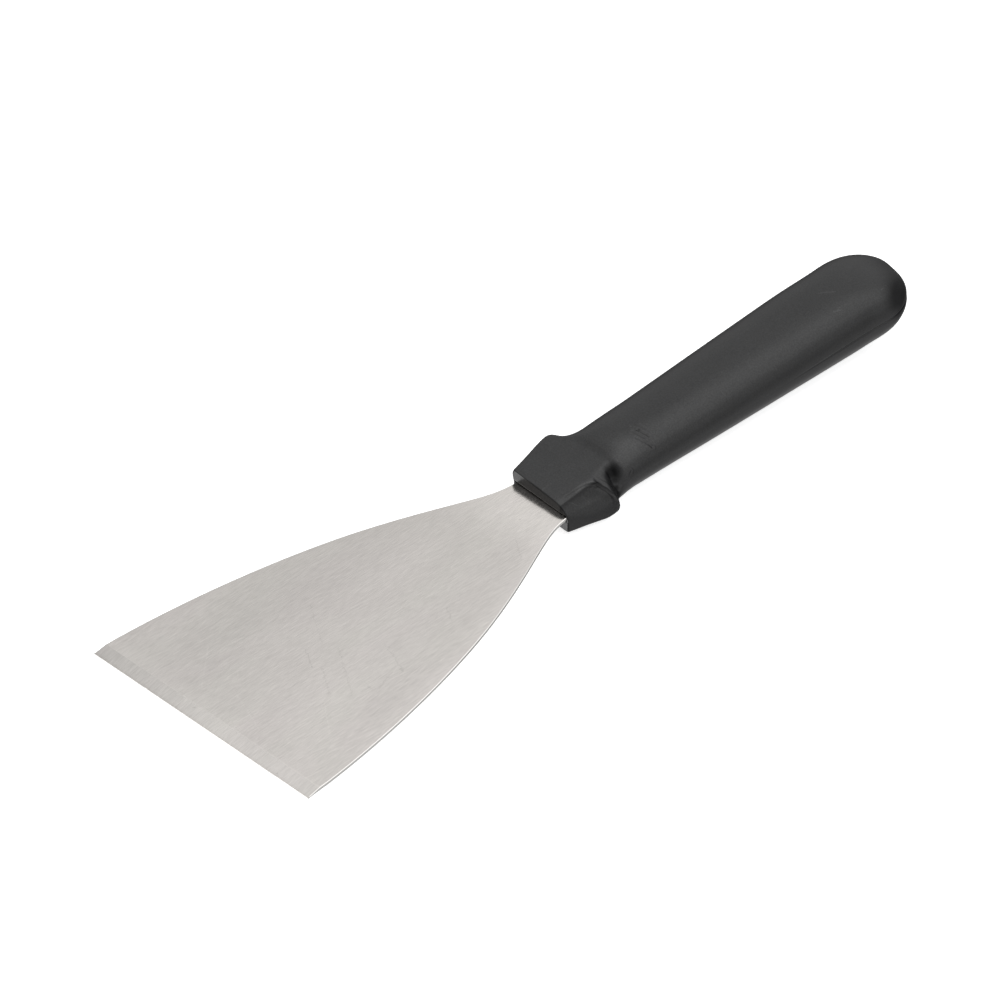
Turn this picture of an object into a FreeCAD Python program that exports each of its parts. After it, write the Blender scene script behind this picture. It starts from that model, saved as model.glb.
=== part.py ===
import FreeCAD, Part
import math
import os
import Sketcher

# Bench scraper with a flared stainless blade and a moulded plastic handle.
# Two pieces: a flat sheet blade whose tang runs back inside the handle, and the handle moulded
# round that tang in one shot.
#
# Frame, millimetres: origin at the middle of the working edge, on the blade's flat underside.
# +X runs along the working edge, +Y from the edge back to the butt, +Z up.

V = FreeCAD.Vector

# Driving dimensions of the blade: alias, value, note.
BLADE_SIZES = [
    ("edge_width", 76.2, "width of the working edge"),
    ("blade_length", 120.0, "exposed length of the blade, edge to collar"),
    ("blade_thick", 1.0, "sheet thickness of the blade"),
    ("corner_length", 7.0, "distance from the edge where the straight corner ends"),
    ("corner_width", 75.6, "blade width where the straight corner ends"),
    ("neck_width", 19.0, "blade width where it enters the collar"),
    ("bevel_length", 3.9, "length of the ground bevel on the upper face"),
    ("edge_land", 0.3, "thickness left at the working edge"),
    ("tang_thick", 0.9, "tang thickness, 0.05 a side under the sheet"),
    ("tang_root_width", 17.0, "tang width at the collar"),
    ("tang_width", 13.0, "tang width along the grip"),
    ("tang_taper", 17.0, "length over which the tang narrows"),
    ("tang_length", 88.0, "tang length behind the collar, round end included"),
    ("key_hole_dia", 7.0, "key hole that the plastic fills"),
    ("key_hole_pitch", 22.0, "spacing of the key holes"),
    ("key_hole_first", 28.0, "first key hole behind the collar"),
]

# Inner control points of the flared side, corner to collar: half width, distance from the edge.
FLARE_POLES = {
    "flare_one": (37.55, 10.2),
    "flare_two": (36.0, 30.3),
    "flare_three": (26.6, 76.1),
    "flare_four": (11.4, 110.0),
    "flare_five": (9.85, 115.1),
}

# Handle sections: distance from the edge, half width, half thickness, corner radius.
# Half thickness is measured from the middle of the sheet. The collar starts at the blade's end.
STATIONS = {
    "collar_a": ("blade_length", 10.30, 3.90, 1.60),
    "collar_b": (127.0, 11.80, 4.25, 1.90),
    "collar_c": (134.3, 13.30, 4.60, 2.20),
    "waist_a": (136.6, 12.30, 4.95, 3.10),
    "waist_b": (139.5, 11.10, 5.55, 4.30),
    "waist_c": (143.0, 10.75, 6.45, 5.60),
    "waist_d": (147.0, 10.75, 7.15, 6.60),
    "grip_a": (160.0, 11.05, 7.50, 7.00),
    "grip_b": (182.0, 11.60, 8.05, 7.40),
    "grip_c": (205.0, 12.10, 8.50, 7.65),
    "grip_d": (222.0, 12.50, 8.78, 7.70),
    "grip_e": (233.0, 12.70, 8.58, 7.50),
    "butt_a": (238.5, 12.35, 8.00, 7.10),
    "butt_b": (243.0, 11.35, 7.10, 6.40),
    "butt_c": (246.5, 9.60, 5.94, 5.40),
    "butt_d": (249.0, 7.40, 4.60, 4.15),
    "butt_e": (250.6, 5.00, 3.15, 2.85),
    "butt_f": (251.4, 2.70, 1.80, 1.55),
}
STATION_COLUMNS = [
    ("pos", "distance from the edge"),
    ("half", "half width"),
    ("deep", "half thickness"),
    ("round", "corner radius"),
]

# Lofts from edge to butt, each starting on the last section of the one before: group, ruled.
LOFTS = [("collar", True), ("waist", False), ("grip", False), ("butt", False)]

KEY_HOLES = 3
BEVEL_CLEARANCE = 1.0  # how far the bevel cutter stands clear of the edge and the upper face

# Sketcher's numbers for the ends and centre of an element, and for the axes and origin.
START, END, CENTRE = 1, 2, 3
X_AXIS, Y_AXIS = -1, -2
ORIGIN = (-1, 1)

doc = FreeCAD.newDocument("bench_scraper")


# ---------------------------------------------------------------------------
# Spreadsheet
# ---------------------------------------------------------------------------
def fill_sheet():
    """Write the sheet and return its values by alias. A text value names an earlier alias."""
    rows = list(BLADE_SIZES)
    for stem, (half, pos) in FLARE_POLES.items():
        rows.append((stem + "_half", half, stem + ": half width"))
        rows.append((stem + "_pos", pos, stem + ": distance from the edge"))
    for stem, numbers in STATIONS.items():
        for (column, note), value in zip(STATION_COLUMNS, numbers):
            rows.append((stem + "_" + column, value, stem + ": " + note))

    sheet = doc.addObject("Spreadsheet::Sheet", "sizes")
    values = {}
    for row, (alias, value, note) in enumerate(rows, 1):
        linked = isinstance(value, str)
        sheet.set("A%d" % row, note)
        sheet.set("B%d" % row, "=" + value if linked else repr(value))
        sheet.setAlias("B%d" % row, alias)
        values[alias] = values[value] if linked else value
    doc.recompute()
    return values


size = fill_sheet()
sheet_middle = size["blade_thick"] / 2
SHEET_MIDDLE = "sizes.blade_thick / 2"


# ---------------------------------------------------------------------------
# Sketch helpers
# ---------------------------------------------------------------------------
def new_sketch(body, name, role, offset=V(), formulas=()):
    """Sketch on an origin plane; formulas are (offset axis, expression) pairs."""
    sketch = body.newObject("Sketcher::SketchObject", name)
    plane = next(item for item in body.Origin.OriginFeatures if item.Role == role)
    sketch.AttachmentSupport = [(plane, "")]
    sketch.MapMode = "FlatFace"
    sketch.AttachmentOffset = FreeCAD.Placement(offset, FreeCAD.Rotation())
    for axis, formula in formulas:
        sketch.setExpression("AttachmentOffset.Base." + axis, formula)
    return sketch


def new_flat_sketch(body, name):
    """Sketch seen from above, on the middle plane of the sheet."""
    return new_sketch(body, name, "XY_Plane", V(0, 0, sheet_middle), [("z", SHEET_MIDDLE)])


def add_line(sketch, start, end):
    return sketch.addGeometry(Part.LineSegment(V(*start), V(*end)), False)


def add_circle(sketch, x, y, radius, construction=False):
    return sketch.addGeometry(Part.Circle(V(x, y, 0), V(0, 0, 1), radius), construction)


def add_arc(sketch, x, y, radius, start, sweep):
    circle = Part.Circle(V(x, y, 0), V(0, 0, 1), radius)
    return sketch.addGeometry(Part.ArcOfCircle(circle, start, start + sweep), False)


def constrain(sketch, kind, *elements):
    sketch.addConstraint(Sketcher.Constraint(kind, *elements))


def constrain_each(sketch, kind, *elements):
    for element in elements:
        constrain(sketch, kind, element)


def close_loop(sketch, kind, loop):
    """Join the end of each element to the start of the next."""
    for element, following in zip(loop, loop[1:] + loop[:1]):
        constrain(sketch, kind, element, END, following, START)


def dimension(sketch, kind, elements, value, formula):
    """Add a dimension and drive it from the sheet."""
    index = sketch.addConstraint(Sketcher.Constraint(kind, *elements, value))
    sketch.setExpression("Constraints[%d]" % index, formula)


def height(sketch, point, value, formula):
    """Hold a point above the sketch's X axis."""
    dimension(sketch, "DistanceY", ORIGIN + point, value, formula)


def span(sketch, kind, positive, negative, value, formula):
    """Hold two points at the same distance either side of the origin."""
    dimension(sketch, kind, ORIGIN + positive, value, formula)
    dimension(sketch, kind, negative + ORIGIN, value, formula)


def add_key_hole(sketch, number):
    """Key hole circle on the centre line, counted from 0 at the collar."""
    y = size["blade_length"] + size["key_hole_first"] + number * size["key_hole_pitch"]
    hole = add_circle(sketch, 0, y, size["key_hole_dia"] / 2)
    constrain(sketch, "PointOnObject", hole, CENTRE, Y_AXIS)
    formula = "sizes.blade_length + sizes.key_hole_first + %d * sizes.key_hole_pitch" % number
    height(sketch, (hole, CENTRE), y, formula)
    dimension(sketch, "Diameter", (hole,), size["key_hole_dia"], "sizes.key_hole_dia")


def draw_tang(body, name):
    """Outline of the tang: tapered root, parallel sides and a round end."""
    sketch = new_flat_sketch(body, name)
    root = size["tang_root_width"] / 2
    half = size["tang_width"] / 2
    root_y = size["blade_length"]
    taper_y = root_y + size["tang_taper"]
    round_y = root_y + size["tang_length"] - half

    base = add_line(sketch, (-root, root_y), (root, root_y))
    taper_right = add_line(sketch, (root, root_y), (half, taper_y))
    side_right = add_line(sketch, (half, taper_y), (half, round_y))
    round_end = add_arc(sketch, 0, round_y, half, 0.0, math.pi)
    side_left = add_line(sketch, (-half, round_y), (-half, taper_y))
    taper_left = add_line(sketch, (-half, taper_y), (-root, root_y))

    for first, second in (
        (base, taper_right),
        (taper_right, side_right),
        (side_left, taper_left),
        (taper_left, base),
    ):
        constrain(sketch, "Coincident", first, END, second, START)
    constrain(sketch, "Tangent", side_right, END, round_end, START)
    constrain(sketch, "Tangent", round_end, END, side_left, START)
    constrain_each(sketch, "Vertical", side_right, side_left)
    constrain(sketch, "Horizontal", base)

    span(sketch, "DistanceX", (base, END), (base, START), root, "sizes.tang_root_width / 2")
    height(sketch, (base, START), root_y, "sizes.blade_length")
    span(
        sketch, "DistanceX", (side_right, START), (side_left, END), half, "sizes.tang_width / 2"
    )
    for point in ((side_right, START), (side_left, END)):
        height(sketch, point, taper_y, "sizes.blade_length + sizes.tang_taper")
    formula = "sizes.blade_length + sizes.tang_length - sizes.tang_width / 2"
    height(sketch, (round_end, CENTRE), round_y, formula)
    return sketch


# ---------------------------------------------------------------------------
# Feature helpers
# ---------------------------------------------------------------------------
def extrude(body, kind, name, profile, length, formula):
    """Pad or pocket, half its length to each side of the sketch."""
    doc.recompute()
    feature = body.newObject("PartDesign::" + kind, name)
    feature.Profile = profile
    feature.SideType = "Symmetric"
    feature.Type = "Length"
    feature.Length = length
    feature.setExpression("Length", formula)
    body.Tip = feature
    doc.recompute()
    return feature


def check_cut(before, after, expected):
    """Stop if a cut took away more than 2% too much or too little."""
    removed = before.Shape.Volume - after.Shape.Volume
    if abs(removed - expected) > 0.02 * expected:
        message = "%s removed %.3f mm3, expected %.3f"
        raise RuntimeError(message % (after.Label, removed, expected))


# ---------------------------------------------------------------------------
# Blade
# ---------------------------------------------------------------------------
def draw_blade(body):
    """Outline of the exposed blade: edge, straight corners, flared sides and neck."""
    sketch = new_flat_sketch(body, "blade_outline")
    edge = size["edge_width"] / 2
    corner = size["corner_width"] / 2
    corner_y = size["corner_length"]
    neck = size["neck_width"] / 2
    neck_y = size["blade_length"]
    poles = [(corner, corner_y), *FLARE_POLES.values(), (neck, neck_y)]

    def add_flare(side):
        curve = Part.BSplineCurve()
        curve.buildFromPolesMultsKnots(
            [V(side * x, y, 0) for x, y in poles],
            [4, 1, 1, 1, 4],
            [0.0, 0.25, 0.5, 0.75, 1.0],
            False,
            3,
        )
        return sketch.addGeometry(curve, False)

    front = add_line(sketch, (-edge, 0), (edge, 0))
    corner_right = add_line(sketch, (edge, 0), (corner, corner_y))
    flare_right = add_flare(1)
    neck_line = add_line(sketch, (neck, neck_y), (-neck, neck_y))
    flare_left = add_flare(-1)
    corner_left = add_line(sketch, (-corner, corner_y), (-edge, 0))

    # Both flares run from the corner to the neck, so the left one is joined end to end.
    for joint in (
        (front, END, corner_right, START),
        (corner_right, END, flare_right, START),
        (flare_right, END, neck_line, START),
        (neck_line, END, flare_left, END),
        (flare_left, START, corner_left, START),
        (corner_left, END, front, START),
    ):
        constrain(sketch, "Coincident", *joint)
    constrain(sketch, "PointOnObject", front, START, X_AXIS)
    constrain(sketch, "PointOnObject", front, END, X_AXIS)
    constrain(sketch, "Horizontal", neck_line)

    for right, left, value, alias in (
        ((front, END), (front, START), edge, "edge_width"),
        ((corner_right, END), (corner_left, START), corner, "corner_width"),
        ((neck_line, START), (neck_line, END), neck, "neck_width"),
    ):
        span(sketch, "DistanceX", right, left, value, "sizes.%s / 2" % alias)
    for point in ((corner_right, END), (corner_left, START)):
        height(sketch, point, corner_y, "sizes.corner_length")
    height(sketch, (neck_line, START), neck_y, "sizes.blade_length")

    # Construction circles hold the inner control points of both flares.
    for index, (stem, (x, y)) in enumerate(FLARE_POLES.items(), 1):
        centres = []
        for flare, side in ((flare_right, 1), (flare_left, -1)):
            pole = add_circle(sketch, side * x, y, 1.0, construction=True)
            alignment = "InternalAlignment:Sketcher::BSplineControlPoint"
            constrain(sketch, alignment, pole, CENTRE, flare, index)
            centres.append((pole, CENTRE))
        span(sketch, "DistanceX", *centres, x, "sizes.%s_half" % stem)
        for centre in centres:
            height(sketch, centre, y, "sizes.%s_pos" % stem)
    return sketch


def draw_bevel(body):
    """Side view of the bevel cutter; its sloping side is the ground face."""
    sketch = new_sketch(body, "bevel_outline", "YZ_Plane")
    land = size["edge_land"]
    thick = size["blade_thick"]
    length = size["bevel_length"]
    top = thick + BEVEL_CLEARANCE
    corners = [
        (0, land),
        (length, thick),
        (length, top),
        (-BEVEL_CLEARANCE, top),
        (-BEVEL_CLEARANCE, land),
    ]
    loop = [add_line(sketch, a, b) for a, b in zip(corners, corners[1:] + corners[:1])]
    slope, rear, upper, front, lower = loop

    close_loop(sketch, "Coincident", loop)
    constrain_each(sketch, "Vertical", rear, front)
    constrain_each(sketch, "Horizontal", upper, lower)
    constrain(sketch, "PointOnObject", slope, START, Y_AXIS)
    height(sketch, (slope, START), land, "sizes.edge_land")
    dimension(sketch, "DistanceX", ORIGIN + (slope, END), length, "sizes.bevel_length")
    height(sketch, (slope, END), thick, "sizes.blade_thick")
    constrain(sketch, "DistanceY", rear, START, rear, END, BEVEL_CLEARANCE)
    constrain(sketch, "DistanceX", upper, END, *ORIGIN, BEVEL_CLEARANCE)
    return sketch


def make_blade():
    """Flared sheet and tang in one piece. Returns the body and the volume of the tang."""
    body = doc.addObject("PartDesign::Body", "blade")
    thick = size["blade_thick"]
    tang_thick = size["tang_thick"]
    blade_sheet = extrude(
        body, "Pad", "blade_sheet", draw_blade(body), thick, "sizes.blade_thick"
    )
    outline = draw_tang(body, "tang_outline")
    tang = extrude(body, "Pad", "tang", outline, tang_thick, "sizes.tang_thick")

    # One key hole, cut well through, then repeated along the tang.
    hole_sketch = new_flat_sketch(body, "key_hole_outline")
    add_key_hole(hole_sketch, 0)
    key_hole = extrude(
        body, "Pocket", "key_hole", hole_sketch, 4 * tang_thick, "sizes.tang_thick * 4"
    )
    key_row = body.newObject("PartDesign::LinearPattern", "key_hole_row")
    key_row.Originals = [key_hole]
    key_row.Direction = (hole_sketch, ["V_Axis"])
    key_row.Length = (KEY_HOLES - 1) * size["key_hole_pitch"]
    key_row.setExpression("Length", "sizes.key_hole_pitch * %d" % (KEY_HOLES - 1))
    key_row.Occurrences = KEY_HOLES
    body.Tip = key_row
    doc.recompute()
    hole_area = math.pi * size["key_hole_dia"] ** 2 / 4
    check_cut(tang, key_row, KEY_HOLES * hole_area * tang_thick)

    # Ground bevel on the upper face; the cutter is wider than the working edge.
    width = size["edge_width"]
    bevel = extrude(
        body, "Pocket", "edge_bevel", draw_bevel(body), width * 1.2, "sizes.edge_width * 1.2"
    )
    check_cut(key_row, bevel, (thick - size["edge_land"]) * size["bevel_length"] * width / 2)
    return body, key_row.Shape.Volume - blade_sheet.Shape.Volume


# ---------------------------------------------------------------------------
# Handle
# ---------------------------------------------------------------------------
def draw_section(body, stem):
    """Rounded rectangle square to the handle, centred on the middle of the sheet."""
    pos, half, deep, radius = (size[stem + "_" + column] for column, _ in STATION_COLUMNS)
    # The sketch faces -Y, so its offset towards the butt is negative.
    sketch = new_sketch(
        body,
        "section_" + stem,
        "XZ_Plane",
        V(0, sheet_middle, -pos),
        [("y", SHEET_MIDDLE), ("z", "-sizes.%s_pos" % stem)],
    )
    x = half - radius  # corner centres
    y = deep - radius
    quarter = math.pi / 2

    bottom = add_line(sketch, (-x, -deep), (x, -deep))
    bottom_right = add_arc(sketch, x, -y, radius, -quarter, quarter)
    right = add_line(sketch, (half, -y), (half, y))
    top_right = add_arc(sketch, x, y, radius, 0.0, quarter)
    top = add_line(sketch, (x, deep), (-x, deep))
    top_left = add_arc(sketch, -x, y, radius, quarter, quarter)
    left = add_line(sketch, (-half, y), (-half, -y))
    bottom_left = add_arc(sketch, -x, -y, radius, math.pi, quarter)

    loop = [bottom, bottom_right, right, top_right, top, top_left, left, bottom_left]
    close_loop(sketch, "Tangent", loop)
    constrain_each(sketch, "Horizontal", bottom, top)
    constrain_each(sketch, "Vertical", left, right)
    span(sketch, "DistanceX", (right, START), (left, START), half, "sizes.%s_half" % stem)
    span(sketch, "DistanceY", (top, START), (bottom, START), deep, "sizes.%s_deep" % stem)
    for corner in (bottom_right, top_right, top_left, bottom_left):
        dimension(sketch, "Radius", (corner,), radius, "sizes.%s_round" % stem)
    return sketch


def make_handle(tang_volume):
    """Lofts from collar to butt, with a seat cut for the tang."""
    body = doc.addObject("PartDesign::Body", "handle")
    sections = {stem: draw_section(body, stem) for stem in STATIONS}
    doc.recompute()

    volume = 0.0
    shared = []  # last section of the loft before
    for group, ruled in LOFTS:
        profiles = shared + [sections[stem] for stem in STATIONS if stem.startswith(group)]
        loft = body.newObject("PartDesign::AdditiveLoft", group + "_loft")
        loft.Profile = profiles[0]
        loft.Sections = profiles[1:]
        loft.Ruled = ruled
        body.Tip = loft
        doc.recompute()
        if loft.Shape.Volume <= volume:
            raise RuntimeError("%s added nothing" % loft.Label)
        volume = loft.Shape.Volume
        shared = profiles[-1:]

    # The key holes are left standing in the seat, so the plastic is joined through them.
    seat_sketch = draw_tang(body, "tang_seat_outline")
    for number in range(KEY_HOLES):
        add_key_hole(seat_sketch, number)
    seat = extrude(
        body, "Pocket", "tang_seat", seat_sketch, size["tang_thick"], "sizes.tang_thick"
    )
    check_cut(loft, seat, tang_volume)
    return body


blade, tang_volume = make_blade()
handle = make_handle(tang_volume)

doc.recompute()
for item in doc.Objects:
    if "Invalid" in item.State or "Error" in item.State:
        raise RuntimeError("%s is %s" % (item.Label, item.State))

os.makedirs("parts", exist_ok=True)
for body in (blade, handle):
    shape = body.Shape
    if shape.isNull() or not shape.isValid() or len(shape.Solids) != 1:
        raise RuntimeError("%s has a bad shape" % body.Label)
    shape.exportStep(os.path.join("parts", body.Label + ".step"))
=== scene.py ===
"""A flared sheet-steel blade with a hidden tang, in a black moulded handle.

It lies along Y: the working edge is at the front (low Y), the butt of the handle at the back
(high Y). X runs across, right is +X, and the sheet is flat in Z.
Lengths are in millimetres until a mesh or a shader value is made.
"""
import math

import bpy
import numpy as np
from mathutils import Matrix, Vector, geometry


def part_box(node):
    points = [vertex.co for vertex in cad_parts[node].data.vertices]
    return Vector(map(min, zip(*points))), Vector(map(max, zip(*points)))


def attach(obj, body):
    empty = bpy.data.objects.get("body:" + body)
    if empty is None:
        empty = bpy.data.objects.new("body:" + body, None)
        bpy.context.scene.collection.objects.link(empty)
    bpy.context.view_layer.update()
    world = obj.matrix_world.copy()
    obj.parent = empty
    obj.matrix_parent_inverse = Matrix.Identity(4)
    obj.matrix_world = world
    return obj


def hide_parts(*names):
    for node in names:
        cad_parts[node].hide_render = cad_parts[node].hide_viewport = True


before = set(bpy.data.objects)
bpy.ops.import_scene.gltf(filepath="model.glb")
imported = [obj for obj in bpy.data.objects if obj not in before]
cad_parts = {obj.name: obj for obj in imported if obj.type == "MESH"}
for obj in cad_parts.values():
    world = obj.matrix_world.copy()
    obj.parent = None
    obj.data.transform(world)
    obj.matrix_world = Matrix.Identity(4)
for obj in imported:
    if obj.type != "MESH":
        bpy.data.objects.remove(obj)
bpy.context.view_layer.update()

MM = 0.001

# ---- Driving dimensions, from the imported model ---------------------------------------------
blade_lo, blade_hi = [np.array(corner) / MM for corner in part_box("blade")]
handle_lo, handle_hi = [np.array(corner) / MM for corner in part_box("handle")]

EDGE_Y = blade_lo[1]                         # working edge
HALF_EDGE = blade_hi[0]                      # half the working edge's length
TANG_END = blade_hi[1]                       # round end of the tang
NECK = handle_lo[1]                          # where the blade leaves the handle
ZM = (handle_lo[2] + handle_hi[2]) / 2       # middle of the sheet

# The blade tables are for a 76.2 mm edge, 120 mm of bare blade and a 131.4 mm handle
SCALE_X = HALF_EDGE / 38.1
SCALE_Y = (NECK - EDGE_Y) / 120.0
SCALE_HANDLE = (handle_hi[1] - NECK) / 131.4

# Blade
HALF_SHEET = 0.5                             # half the sheet's thickness
HALF_TANG = 0.45                             # half the tang's thickness
LAND = 0.30                                  # thickness left at the working edge
GRIND_RUN = 3.9                              # length of the ground face
GRIND_Y = EDGE_Y + GRIND_RUN                 # back of the ground face
GRIND_SLOPE = (2 * HALF_SHEET - LAND) / GRIND_RUN
SHOULDER_Y = NECK + 1.5                      # the full width runs this far into the collar
TANG_RADIUS = 6.5 * SCALE_X                  # half the tang's width, and its round end
HOLES = [148.0 + 22.0 * i for i in range(3)]
HOLE_RADIUS = 3.5
HOLE_POINTS = 32
SIDE_POINTS = 220
RIM_STEPS = 5                                # steps in each rounded rim

# Handle
BUTT_TIP = 251.673
FACE_Y = NECK - 0.3                          # flat front face of the collar
FACE_ROUND = 0.4                             # radius round the front face
RING_POINTS = 384
SLOT_HALF_WIDTH = 6.65                       # round the tang
SKEW = 0.055                                 # lean of the collar's front in plan


# ---- Curves --------------------------------------------------------------------------------
def ease(x, start, end):
    """Smooth step from 0 at start to 1 at end; start may be the greater."""
    share = np.clip((x - start) / (end - start), 0, 1)
    return share * share * (3 - 2 * share)


def bell(x, width, centre=0.0):
    return np.exp(-(((x - centre) / width) ** 2))


def natural_spline(knots, values):
    """Natural cubic spline, straight beyond its last knot."""
    knots, values = np.array(knots, float), np.array(values, float)
    gaps = np.diff(knots)
    slopes = np.diff(values) / gaps
    system, target = np.eye(len(knots)), np.zeros(len(knots))
    for i in range(1, len(knots) - 1):
        system[i, i - 1 : i + 2] = gaps[i - 1], 2 * (gaps[i - 1] + gaps[i]), gaps[i]
        target[i] = 6 * (slopes[i] - slopes[i - 1])
    bend = np.linalg.solve(system, target)
    end_slope = slopes[-1] + gaps[-1] * bend[-2] / 6

    def at(x):
        if x > knots[-1]:
            return values[-1] + end_slope * (x - knots[-1])
        i = np.searchsorted(knots, x) - 1
        past, gap = x - knots[i], gaps[i]
        slope = slopes[i] - gap * (2 * bend[i] + bend[i + 1]) / 6
        cubic = (bend[i + 1] - bend[i]) / (6 * gap)
        return values[i] + past * (slope + past * (bend[i] / 2 + past * cubic))

    return at


def monotone_curve(knots, values):
    """Monotone cubic through the knots, constant beyond them."""
    knots, values = np.array(knots, float), np.array(values, float)
    gaps = np.diff(knots)
    rises = np.diff(values) / gaps
    slopes = np.zeros(len(knots))
    for i in range(1, len(knots) - 1):
        if rises[i - 1] * rises[i] > 0:
            before = 2 * gaps[i] + gaps[i - 1]
            after = gaps[i] + 2 * gaps[i - 1]
            slopes[i] = (before + after) / (before / rises[i - 1] + after / rises[i])
    slopes[0], slopes[-1] = rises[0], rises[-1]

    def at(x):
        x = np.clip(x, knots[0], knots[-1])
        i = np.clip(np.searchsorted(knots, x) - 1, 0, len(knots) - 2)
        t = (x - knots[i]) / gaps[i]
        return float(
            values[i] * (2 * t**3 - 3 * t**2 + 1)
            + gaps[i] * slopes[i] * (t**3 - 2 * t**2 + t)
            + values[i + 1] * (3 * t**2 - 2 * t**3)
            + gaps[i] * slopes[i + 1] * (t**3 - t**2)
        )

    return at


def wander(x, seed, waves, low, high):
    """A smooth seeded wander of unit size: sines with rates from low to high per mm."""
    draws = np.random.RandomState(seed)
    rates = np.exp(draws.uniform(math.log(low), math.log(high), waves))
    phases = draws.uniform(0, 2 * math.pi, waves)
    total = sum(np.sin(2 * math.pi * x * rate + phase) for rate, phase in zip(rates, phases))
    return total / math.sqrt(waves / 2.0)


def path_distance(u, v, path):
    """Distance to a polyline, and whether a point is on the right of its nearest stretch."""
    distance = np.full(u.shape, 1e9)
    on_right = np.zeros(u.shape, bool)
    for (start_u, start_v), (end_u, end_v) in zip(path[:-1], path[1:]):
        run_u, run_v = end_u - start_u, end_v - start_v
        off_u, off_v = u - start_u, v - start_v
        share = np.clip((off_u * run_u + off_v * run_v) / (run_u**2 + run_v**2), 0, 1)
        gap = np.hypot(off_u - share * run_u, off_v - share * run_v)
        on_right = np.where(gap < distance, run_u * off_v - run_v * off_u < 0, on_right)
        distance = np.minimum(distance, gap)
    return distance, on_right


# ---- Meshes --------------------------------------------------------------------------------
def add_mesh(name, verts, faces):
    mesh = bpy.data.meshes.new(name)
    mesh.from_pydata(verts, [], faces)
    thing = bpy.data.objects.new(name, mesh)
    bpy.context.scene.collection.objects.link(thing)
    return thing


def add_piece(name, verts_mm, faces):
    """A smooth-shaded piece of the product, from vertices in millimetres."""
    thing = add_mesh(name, (np.asarray(verts_mm) * MM).tolist(), faces)
    mesh = thing.data
    mesh.validate()
    mesh.polygons.foreach_set("use_smooth", [True] * len(mesh.polygons))
    return thing


def band_faces(rings, count):
    """Quads between closed rings of count points each."""
    faces = []
    for low in range(0, (rings - 1) * count, count):
        for i in range(count):
            j = (i + 1) % count
            faces.append((low + i, low + j, low + count + j, low + count + i))
    return faces


# ---- Blade: one flared sheet with a ground front and a hidden tang -------------------------
# Cubic B-spline of the right side, front to neck: x, y
POLES = np.array([
    (37.8, 7.0), (37.55, 10.2), (36.0, 30.3), (26.6, 76.1),
    (11.4, 110.0), (9.85, 115.1), (9.5, 120.0),
])
KNOTS = np.array([0, 0, 0, 0, 0.25, 0.5, 0.75, 1, 1, 1, 1])

# Nicks in the working edge: x, width, depth
NICKS = ((-19.5, 0.5, 0.10), (8.2, 0.35, 0.06), (21.0, 0.6, 0.07), (-30.5, 0.3, 0.05))


def side_curve():
    points = []
    for place in np.linspace(0, 1, SIDE_POINTS):
        span = min(int(np.searchsorted(KNOTS, place, side="right")) - 1, 6)
        near = list(POLES[span - 3 : span + 1])
        for level in range(1, 4):
            for j in range(3, level - 1, -1):
                low = KNOTS[span - 3 + j]
                share = (place - low) / (KNOTS[j + 1 + span - level] - low)
                near[j] = (1 - share) * near[j - 1] + share * near[j]
        points.append(near[3])
    return np.array(points) * (SCALE_X, SCALE_Y)


def blade_outline():
    """Right half from the working edge to the tip of the tang, as (x, y)."""
    side = side_curve()
    lead = np.column_stack([
        np.linspace(HALF_EDGE, side[0, 0], 12),
        np.linspace(EDGE_Y, side[0, 1], 12),
    ])[:-1]
    neck_width = side[-1, 0]
    tip_centre = TANG_END - TANG_RADIUS
    shoulder = [
        (neck_width - 0.02, NECK + 0.8),
        (neck_width - 0.05, SHOULDER_Y),
        (8.45 * SCALE_X, SHOULDER_Y + 0.05),
        (TANG_RADIUS, NECK + 17.0 * SCALE_HANDLE),
        (TANG_RADIUS, tip_centre),
    ]
    angles = np.radians(np.linspace(0, 90, 14)[1:])
    tip = np.column_stack([
        TANG_RADIUS * np.cos(angles),
        tip_centre + TANG_RADIUS * np.sin(angles),
    ])
    return np.concatenate([lead, side, shoulder, tip])


def blade_loop():
    """The whole outline, counter-clockwise from the right end of the working edge."""
    half = blade_outline()
    left = half[::-1][1:] * (-1, 1)
    x = np.linspace(-HALF_EDGE, HALF_EDGE, 241)[1:-1]
    wear = 0.018 * wander(x, seed=3, waves=14, low=0.05, high=0.9)
    wear = wear * (1 - np.abs(x / HALF_EDGE) ** 12)
    for centre, width, depth in NICKS:
        wear = wear + depth * bell(x, width, centre)
    edge = np.column_stack([x, EDGE_Y + np.clip(wear, 0.0, 1)])
    return np.concatenate([half, left, edge])


def half_thickness(y):
    return np.where(y > SHOULDER_Y + 0.02, HALF_TANG, HALF_SHEET)


def top_z(y):
    share = np.clip((y - EDGE_Y) / GRIND_RUN, 0, 1)
    ground = ZM - HALF_SHEET + LAND + (2 * HALF_SHEET - LAND) * share
    return np.minimum(ground, ZM + half_thickness(y))


def bottom_z(y):
    return ZM - half_thickness(y)


def outward(step):
    """Unit normals on the right of plan steps."""
    return np.stack([step[:, 1], -step[:, 0]], 1) / np.linalg.norm(step, axis=1)[:, None]


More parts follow.
